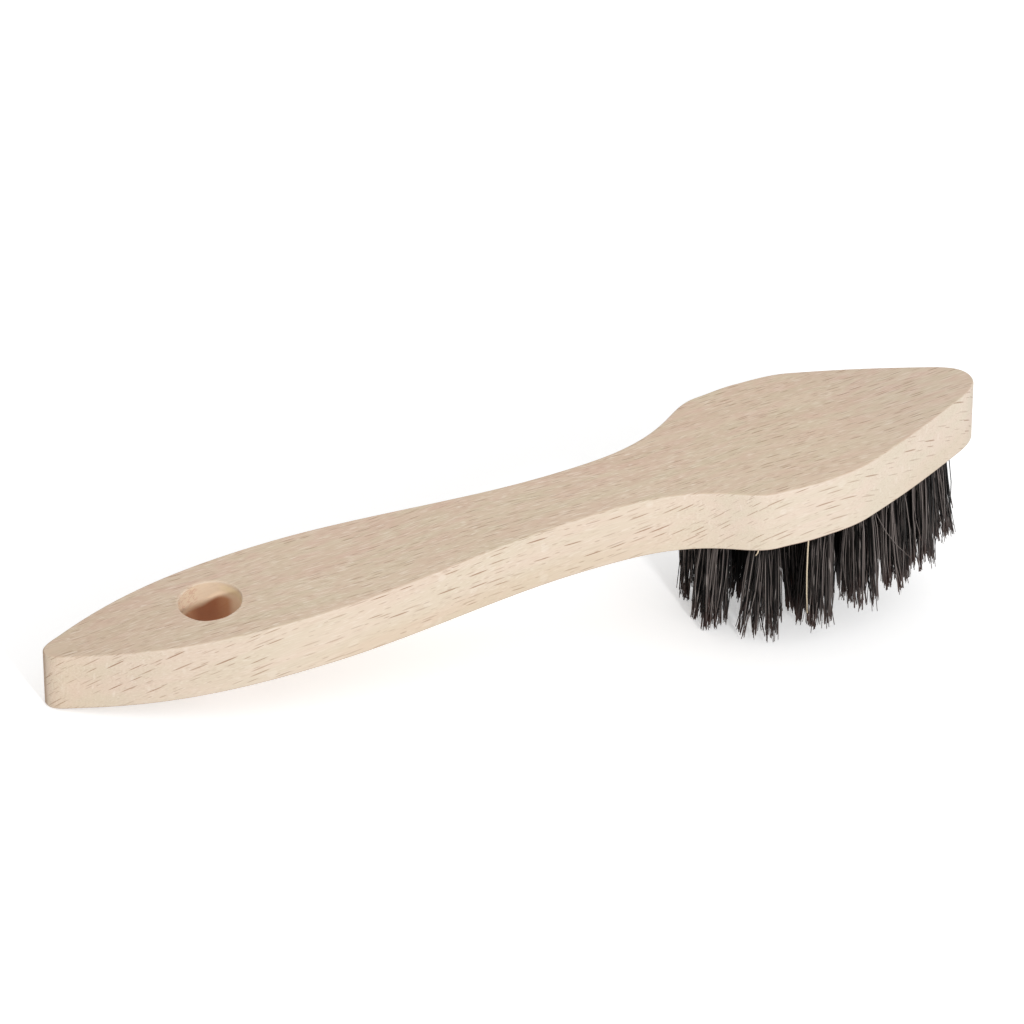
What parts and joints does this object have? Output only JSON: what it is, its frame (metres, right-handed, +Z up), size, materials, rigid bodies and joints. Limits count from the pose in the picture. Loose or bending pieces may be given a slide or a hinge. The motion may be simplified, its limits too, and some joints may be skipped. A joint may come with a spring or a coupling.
{
  "type": "leather cleaning brush",
  "caption": "Hand brush sawn from one flat board: waisted wooden handle with a hanging hole, pointed head, and tufts of stiff black hair anchored in drilled sockets.",
  "frame": {"origin": "middle of the brush's footprint box, on the surface that it rests on", "axes": "+X from the handle's end towards the head's tip, +Y across the brush, +Z up; the block leans up towards the head because it rests on the handle's end and the rear bristle tips"},
  "size_m": [0.1912, 0.035, 0.0456],
  "materials": {
    "beech": "fine sanded, unvarnished steamed beech",
    "black_bristle": "stiff black natural hair with a soft gloss",
    "anchor_steel": "cut flat wire"
  },
  "bodies": {
    "root": {"brush_block": "beech", "bristle_tuft_01": "black_bristle", "bristle_tuft_02": "black_bristle", "bristle_tuft_03": "black_bristle", "bristle_tuft_04": "black_bristle", "bristle_tuft_05": "black_bristle", "bristle_tuft_06": "black_bristle", "bristle_tuft_07": "black_bristle", "bristle_tuft_08": "black_bristle", "bristle_tuft_09": "black_bristle", "bristle_tuft_10": "black_bristle", "bristle_tuft_11": "black_bristle", "bristle_tuft_12": "black_bristle", "bristle_tuft_13": "black_bristle", "bristle_tuft_14": "black_bristle", "bristle_tuft_15": "black_bristle", "bristle_tuft_16": "black_bristle", "bristle_tuft_17": "black_bristle", "bristle_tuft_18": "black_bristle", "bristle_tuft_19": "black_bristle", "bristle_tuft_20": "black_bristle", "anchor_01": "anchor_steel", "anchor_02": "anchor_steel", "anchor_03": "anchor_steel", "anchor_04": "anchor_steel", "anchor_05": "anchor_steel", "anchor_06": "anchor_steel", "anchor_07": "anchor_steel", "anchor_08": "anchor_steel", "anchor_09": "anchor_steel", "anchor_10": "anchor_steel", "anchor_11": "anchor_steel", "anchor_12": "anchor_steel", "anchor_13": "anchor_steel", "anchor_14": "anchor_steel", "anchor_15": "anchor_steel", "anchor_16": "anchor_steel", "anchor_17": "anchor_steel", "anchor_18": "anchor_steel", "anchor_19": "anchor_steel", "anchor_20": "anchor_steel"}
  },
  "joints": []
}
